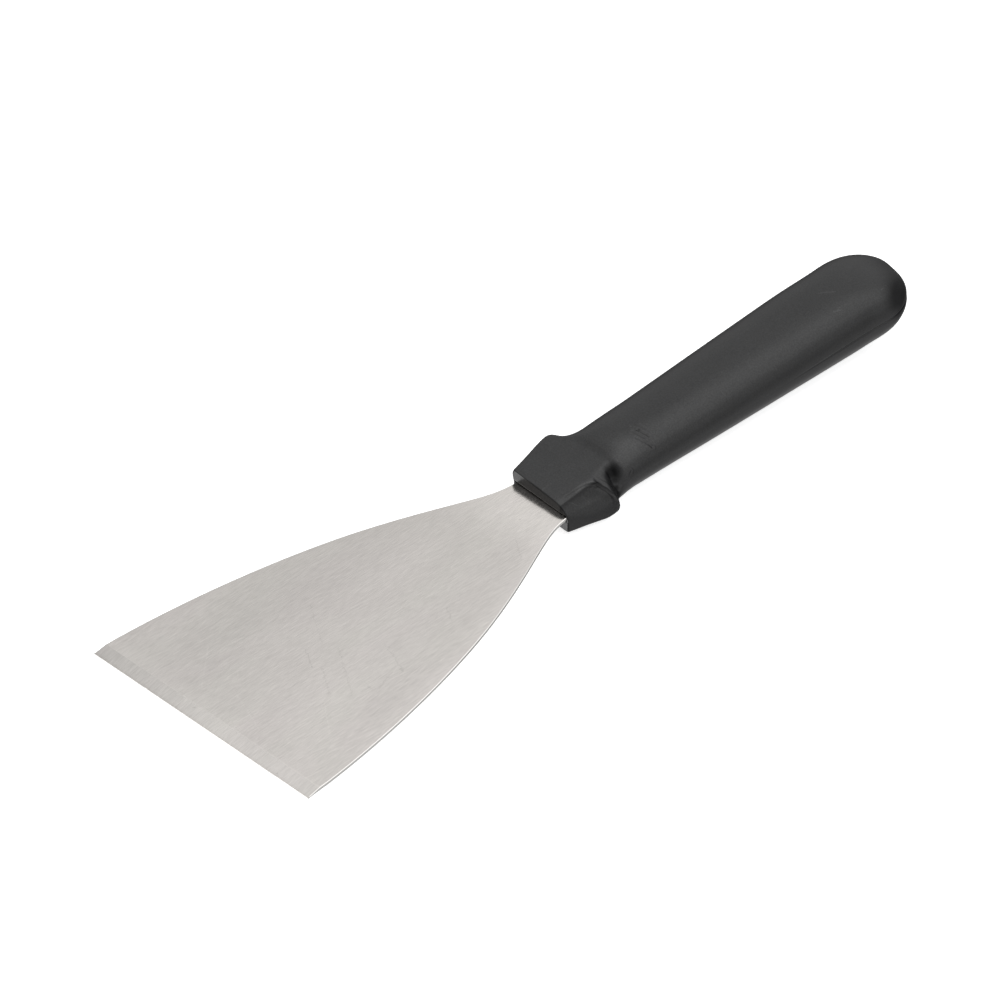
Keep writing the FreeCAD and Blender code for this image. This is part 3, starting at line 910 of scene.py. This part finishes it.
def steel():
    """Sheet steel brushed lengthwise, ground across its working edge, sheared at its sides."""
    material, graph = new_material("brushed_steel")
    x, y, _ = graph.coordinates().separate()
    fine = graph.noise((5500, 285, 300), detail=3.0, rough=0.65)
    broad = graph.noise((1000, 90, 200), offset=(3.1, 0.7, 0), rough=0.55)
    finest = graph.noise((6800, 400, 600), offset=(1.3, 2.9, 0), turn=0.02)
    bands = graph.noise((42, 13, 10), offset=(0.4, 0.3, 0), distortion=0.4)
    clouds = graph.noise(
        (120, 60, 10), offset=(7.4, 0.1, 0), detail=3.0, rough=0.55, distortion=0.5
    )
    grain = (fine - 0.5) * 1.0 + (broad - 0.5) * 0.12
    grain = grain + (finest - 0.5) * 0.85
    # the ground face has a grain of its own
    on_grind = y.fade(mm=(3.84, 3.94), to=DOWN)
    cuts = graph.noise((4200, 260, 300), offset=(5, 1, 0), turn=0.15, detail=3.0, rough=0.6)
    cuts = (cuts - 0.5) * 1.25
    grain = grain * (1.0 - on_grind) + cuts * on_grind
    slow = (bands - 0.5) * 0.23 + (clouds - 0.5) * 0.06
    # left half a little darker
    side = x.fade(mm=(-30, 22), to=(-0.078, 0.052), soft=True)
    tone = grain * 0.365 + slow + side
    # ground face: darker overall and towards its ends
    ends = x.fade(mm=(-34, 4), to=(-0.122, 0.0), soft=True) + x.fade(mm=(2, 28), to=(0.0, -0.085))
    tone = tone + (ends - 0.176) * on_grind
    # painted highlight: a pale line along the back of the ground face, where its rounded step would
    # catch the light
    line = abs(y - 4.15 * MM).fade(mm=(0.0, 0.28), to=DOWN) * x.fade(mm=(-18, -4), to=UP)
    tone = tone + line * 0.07
    # hairlines across the grain, a few pits and a nick in the ground face
    dark = graph.dashes(x, y, DARK_HAIRLINES, stray=2.2, seed=1.7)
    pale = graph.dashes(x, y, PALE_HAIRLINES, stray=1.0, seed=5.1)
    tone = tone - dark + pale
    # paler just behind the ground face and close to the handle
    left_off_grind = x.fade(mm=(2, 14), to=DOWN) * (1.0 - on_grind)
    paler_behind_grind = y.fade(mm=(4.2, 10.0), to=(0.035, 0.0), soft=True) * left_off_grind
    tone = tone + paler_behind_grind + y.fade(mm=(96, 114), to=(0.0, 0.150), soft=True)
    # and paler again in a narrow strip along the right side
    inset = right_side_inset(x, y)
    strip = inset.fade(mm=(0.0, 6.2), to=(0.075, 0.0), soft=True)
    tone = tone + strip * y.fade(mm=(6, 30), to=(0.3, 1.0))
    tone = tone + 1.0
    base = graph.mix((0.707, 0.6755, 0.646), tone)
    # a breath of temper colour, here pink and there green
    hue = graph.noise((70, 26, 10), offset=(3.3, 2.1, 0), distortion=0.5)
    base = graph.mix(base, hue.ramp((0.35, (1.0, 0.994, 0.998)), (0.65, (0.995, 1.0, 0.993))))
    # sheared side walls
    _, _, facing_up = graph.add("ShaderNodeNewGeometry", output="Normal").separate()
    flat = abs(facing_up).fade(span=(0.10, 0.75), to=UP, soft=True)
    front = y.fade(mm=(0.2, 0.8), to=DOWN)
    keep = flat.at_least(front)
    wall = y.fade(mm=(85, 108), to=UP).ramp((0.0, (0.93, 0.915, 0.89)), (1.0, (0.97, 0.955, 0.93)))
    base = graph.mix(wall, base, factor=keep, blend="MIX")
    # rounded top edge of the sides, made pale: a painted highlight where the rounding catches the
    # overhead light
    lip = facing_up.fade(span=(0.30, 0.60), to=UP) * facing_up.fade(span=(0.90, 0.995), to=DOWN)
    lip = lip * (1.0 - front)
    bright = y.fade(mm=(10, 50), to=UP).ramp((0.0, (0.84, 0.82, 0.795)), (1.0, (0.95, 0.93, 0.90)))
    base = graph.mix(base, bright, factor=lip, blend="MIX")
    rough = (broad + clouds) * 0.06 + 0.085
    rough = rough + (1.0 - keep) * 0.25
    # the brushing runs along Y
    tangent = graph.add(
        "ShaderNodeVectorTransform", {0: graph.add("ShaderNodeCombineXYZ", {1: 1.0})},
        vector_type="VECTOR", convert_from="OBJECT", convert_to="WORLD",
    )
    shader = graph.add("ShaderNodeBsdfPrincipled", {
        "Metallic": 1.0,
        "Base Color": base,
        "Roughness": rough,
        "Anisotropic": 0.75,
        "Tangent": tangent,
        "Normal": graph.bump(grain - dark * 3.0, strength=0.22, distance=0.02 * MM),
    })
    graph.place("ShaderNodeOutputMaterial", {"Surface": shader})
    return material


# Spots of painted shade in the hollow behind the collar: centre, radii, weight
HOLLOW_SPOTS = (
    ((8.2, 137.4, 1.9), (0.4, 2.1), 0.72),
    ((9.84, 136.7, 0.7), (0.2, 1.4), 0.66),
    ((10.73, 136.4, -0.2), (0.1, 1.0), 0.55),
)
# Lines in plan that bound the right of the ridge and its painted shadow: inward normal x, y, then a
# point x, y
RIDGE_LINES = (
    (0.968, -0.251, 6.8, 129.3),
    (0.526, -0.850, 7.6, 132.3),
    (0.276, -0.961, 9.86, 133.7),
)
# Flow lines down the end of the ridge: distance inside those lines, width, depth
RIDGE_FLOWS = ((-1.15, 0.34, 0.32), (0.32, 0.30, 0.20), (1.30, 0.28, 0.22))


def hollow_shade(graph, y):
    """Painted shade in the hollow behind the collar, which traps light."""
    hollow = graph.near((7.1, 137.8, 3.3), radii=(0.7, 3.3), weight=0.78)
    for centre, radii, weight in HOLLOW_SPOTS:
        hollow = hollow.at_least(graph.near(centre, radii, weight))
    return hollow * y.fade(mm=(135.6, 136.6), to=UP, soft=True)


def ridge_inset(x, y):
    inset = x - 6.68 * MM
    for normal_x, normal_y, point_x, point_y in RIDGE_LINES:
        level = (normal_x * point_x + normal_y * point_y) * MM
        inset = inset.at_most(x * normal_x + y * normal_y - level)
    return inset


def ridge_shade(x, y, z, inset):
    """Painted shadow on the skin right of the ridge, with darker flow lines down the ridge's end."""
    rise = inset.fade(mm=(0.0, 0.45), to=UP, soft=True)
    shadow_and_flows = inset.fade(mm=(0.5, 1.5), to=(0.22, 0.0), soft=True)
    shadow_and_flows = shadow_and_flows + inset.fade(mm=(1.2, 6.2), to=(0.30, 0.0))
    shadow_and_flows = shadow_and_flows * rise * z.fade(mm=(0.6, 1.8), to=UP)
    shadow_and_flows = shadow_and_flows * y.fade(mm=(135.2, 136.2), to=DOWN)
    ridge_end = x.fade(mm=(7.0, 8.0), to=UP, soft=True) * z.fade(mm=(0.2, 1.0), to=UP)
    stretch = y.fade(mm=(129.6, 130.6), to=UP) * y.fade(mm=(135.2, 136.2), to=DOWN)
    ridge_end = ridge_end * stretch
    for place, width, depth in RIDGE_FLOWS:
        flow = abs(inset - place * MM).fade(mm=(0.06, width), to=(depth, 0.0), soft=True)
        shadow_and_flows = shadow_and_flows + flow * ridge_end
    return shadow_and_flows


def crest_highlight(y, z, inset):
    """Painted highlight along the crest of the ridge."""
    painted_highlight = inset.fade(mm=(-1.5, -0.5), to=(0.0, 0.34), soft=True)
    painted_highlight = painted_highlight * inset.fade(mm=(-0.1, 0.15), to=DOWN)
    painted_highlight = painted_highlight * (y.fade(mm=(125.0, 127.5), to=UP) * y.fade(mm=(131.8, 133.5), to=DOWN))
    return painted_highlight * z.fade(mm=(2.0, 3.0), to=UP)


def plastic():
    """Black moulded plastic with a satin skin, scuffs and a few sink marks."""
    material, graph = new_material("satin_black_plastic")
    x, y, z = graph.coordinates().separate()
    skin = graph.noise((2600, 2600, 2600))
    cloud = graph.noise(
        (160, 90, 160), offset=(2.2, 0.4, 0), detail=3.0, rough=0.55, distortion=0.6
    )
    streak = graph.noise(
        (420, 55, 420), offset=(0.2, 5.4, 0), detail=3.0, rough=0.6, distortion=0.3
    )
    tone = cloud * 0.5 + streak * 0.35
    base = tone.ramp((0.2, (0.0105, 0.0106, 0.0112)), (0.75, (0.0165, 0.0166, 0.0172)))
    # painted light and shade: how much of the room each place on the skin is open to, darkening its
    # colour and shine in the hollow and right of the ridge
    inset = ridge_inset(x, y)
    shade = hollow_shade(graph, y).at_least(ridge_shade(x, y, z, inset))
    openness = (1.0 - shade).at_least(0.15)
    # painted sheen on the top of the neck
    openness = openness + graph.near((5.2, 145.5, 6.8), radii=(1.0, 6.0), weight=0.16)
    # painted highlight along the crest of the ridge
    openness = openness + crest_highlight(y, z, inset)
    # painted dark reflection, as of a doorway straight behind the butt: the black skin's shine is
    # cut where it would mirror that way
    behind = graph.coordinates("Reflection").against("DOT_PRODUCT", (0.206, 0.977, -0.062))
    dark_reflection = behind.fade(span=(0.63, 0.925), to=(1.0, 0.13), soft=True)
    # scuffs and bright flecks picked up in use, on the top only
    scuff = graph.dashes(x, y, SCUFFS, stray=1.2, seed=2.9)
    scuff = scuff * z.fade(mm=(ZM, ZM + 1), to=UP)
    base = graph.mix(base, graph.mix((1.0, 1.0, 1.0), scuff), blend="ADD")
    base = graph.mix(base, openness)
    rough = cloud * 0.05 + streak * 0.03
    rough = rough + 0.25
    fleck = graph.noise((2700, 2300, 2700), offset=(0.7, 0.3, 0.1), rough=0.6)
    haze = graph.noise(
        (330, 200, 330), offset=(4.7, 1.3, 0.1), detail=3.0, rough=0.6, distortion=0.4
    )
    specular = (fleck - 0.5) * 0.46 + (haze - 0.5) * 0.07
    relief = skin * 0.6 + cloud * 0.25
    shader = graph.add("ShaderNodeBsdfPrincipled", {
        "Base Color": base,
        "Roughness": rough,
        "IOR": 1.49,
        "Specular IOR Level": (specular + 0.5) * (openness * dark_reflection),
        "Normal": graph.bump(relief, strength=0.12, distance=0.06 * MM),
    })
    graph.place("ShaderNodeOutputMaterial", {"Surface": shader})
    return material


# ---- Room: seen by the floor material and by the world -------------------------------------
WHITE = (1, 1, 1, 1)
FLOOR_GLOW = 0.75                            # what the floor gives off to the camera
SKY = 0.98                                   # level of the whole tent
TABLE_FRONT = 1.65                           # level of the lit table in front
BACKDROP = 1.05                              # world brightness seen straight by the camera


def room(direction, sign):
    """How bright the room is in a direction: an even tent, brightest overhead, open and dark low
    down at the far left, with a strongly lit table in front."""

    def toward(vector):
        return direction.against("DOT_PRODUCT", tuple(sign * part for part in vector))

    def eased(value, span, to):
        return value.fade(span=span, to=to, soft=True)

    x, y, z = toward((1, 0, 0)), toward((0, 1, 0)), toward((0, 0, 1))
    # the far left is dark below eye level; the right has a pale wall and table
    left = eased(z, span=(-0.35, 0.60), to=(0.12, 0.80))
    left = left.at_least(eased(z, span=(-0.84, -0.62), to=(0.62, 0.10)))
    right = eased(z, span=(-0.35, 0.15), to=(0.56, 0.88))
    side = eased(x - y * 0.45, span=(-0.12, 0.10), to=UP)
    level = left + side * (right - left)
    level = level * eased(y, span=(-0.60, -0.05), to=(0.55, 1.0))
    level = level + eased(toward((0.24, 0.31, 0.92)), span=(0.70, 0.965), to=(0.0, 0.60))
    level = level * SKY
    table = toward((-0.539, -0.544, -0.643))
    return level + eased(table, span=(0.80, 0.97), to=(0.0, TABLE_FRONT))


def floor_material():
    """Pale floor to the camera; every other ray that meets it sees the room instead."""
    material, graph = new_material("pale_floor")
    cloud = graph.noise((6, 6, 6))
    colour = cloud.ramp((0.3, (0.86, 0.86, 0.86)), (0.7, (0.88, 0.88, 0.88)))
    diffuse = graph.add("ShaderNodeBsdfDiffuse", {"Color": colour})
    glow = graph.add("ShaderNodeEmission", {"Color": WHITE, "Strength": FLOOR_GLOW})
    pale = graph.add("ShaderNodeAddShader", {0: diffuse, 1: glow})
    incoming = graph.add("ShaderNodeNewGeometry", output="Incoming")
    seen = graph.add("ShaderNodeEmission", {"Color": WHITE, "Strength": room(incoming, -1.0)})
    to_camera = graph.add("ShaderNodeLightPath", output="Is Camera Ray")
    shader = graph.add("ShaderNodeMixShader", {0: to_camera, 1: seen, 2: pale})
    graph.place("ShaderNodeOutputMaterial", {"Surface": shader})
    return material


def make_world():
    world = bpy.data.worlds.new("studio")
    bpy.context.scene.world = world
    world.use_nodes = True
    graph = Graph(world.node_tree)
    to_camera = graph.add("ShaderNodeLightPath", output="Is Camera Ray")
    level = room(graph.coordinates("Generated"), 1.0)
    strength = graph.add(
        "ShaderNodeMix", {0: to_camera, 2: level, 3: BACKDROP}, data_type="FLOAT"
    )
    background = graph.add("ShaderNodeBackground", {"Color": WHITE, "Strength": strength})
    graph.place("ShaderNodeOutputWorld", {"Surface": background})


# ---- Floor, light and camera; places in metres ---------------------------------------------
FLOOR_SIDE = 14.0
FLOOR_CELLS = 28
FLOOR_GAP = 0.02 * MM                        # drop that keeps the floor clear of the edge


def make_floor(handle):
    """Square floor tilted about X to touch the working edge and the belly of the grip."""
    coords = np.array([vertex.co for vertex in handle.data.vertices], float)
    slopes = coords[:, 2] / np.maximum(coords[:, 1] - EDGE_Y * MM, 1e-3)
    tilt = math.atan(np.where(coords[:, 1] > 0.15, slopes, 9).min())
    steps = [-FLOOR_SIDE / 2 + FLOOR_SIDE * i / FLOOR_CELLS for i in range(FLOOR_CELLS + 1)]
    verts = [
        (u, v * math.cos(tilt), v * math.sin(tilt) - FLOOR_GAP) for u in steps for v in steps
    ]
    row = FLOOR_CELLS + 1
    faces = []
    for i in range(FLOOR_CELLS):
        for j in range(FLOOR_CELLS):
            corner = i * row + j
            faces.append((corner, corner + row, corner + row + 1, corner + 1))
    return add_mesh("floor", verts, faces)


def add_overhead_light():
    place, aim = (-0.25, 0.55, 1.7), (0, 0.12, 0)
    light = bpy.data.lights.new("overhead", "AREA")
    light.shape = "RECTANGLE"
    light.size, light.size_y = 1.8, 1.4
    light.energy = 2.0
    lamp = bpy.data.objects.new("overhead", light)
    lamp.location = place
    lamp.rotation_mode = "QUATERNION"
    lamp.rotation_quaternion = (Vector(aim) - Vector(place)).to_track_quat("-Z", "Y")
    bpy.context.scene.collection.objects.link(lamp)


def add_camera():
    """Long lens from the front right, above."""
    azimuth, elevation = 0.7797277242, 0.6985494792
    lens = bpy.data.cameras.new("camera")
    lens.lens = 288.0
    lens.sensor_width = 36.0
    lens.sensor_fit = "AUTO"
    lens.clip_start, lens.clip_end = 0.05, 60.0
    camera = bpy.data.objects.new("camera", lens)
    back = Vector((
        math.sin(azimuth) * math.cos(elevation),
        -math.cos(azimuth) * math.cos(elevation),
        math.sin(elevation),
    ))
    right = Vector((math.cos(azimuth), math.sin(azimuth), 0))
    axes = Matrix((right, back.cross(right), back)).transposed()
    camera.location = (1.0860516, -0.9936429, 1.3066436 + ZM * MM)
    camera.rotation_mode = "QUATERNION"
    camera.rotation_quaternion = axes.to_quaternion()
    bpy.context.scene.collection.objects.link(camera)
    bpy.context.scene.camera = camera


# ---- Build ---------------------------------------------------------------------------------
blade = make_blade()
blade.data.materials.append(steel())
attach(blade, "root")
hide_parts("blade")

handle = make_handle()
handle.data.materials.append(plastic())
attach(handle, "root")
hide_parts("handle")

floor = make_floor(handle)
floor.data.materials.append(floor_material())

make_world()
add_overhead_light()
add_camera()
view = bpy.context.scene.view_settings
view.view_transform = "Standard"
view.look = "None"
view.exposure = 0.0
view.gamma = 1.0

bpy.context.view_layer.update()
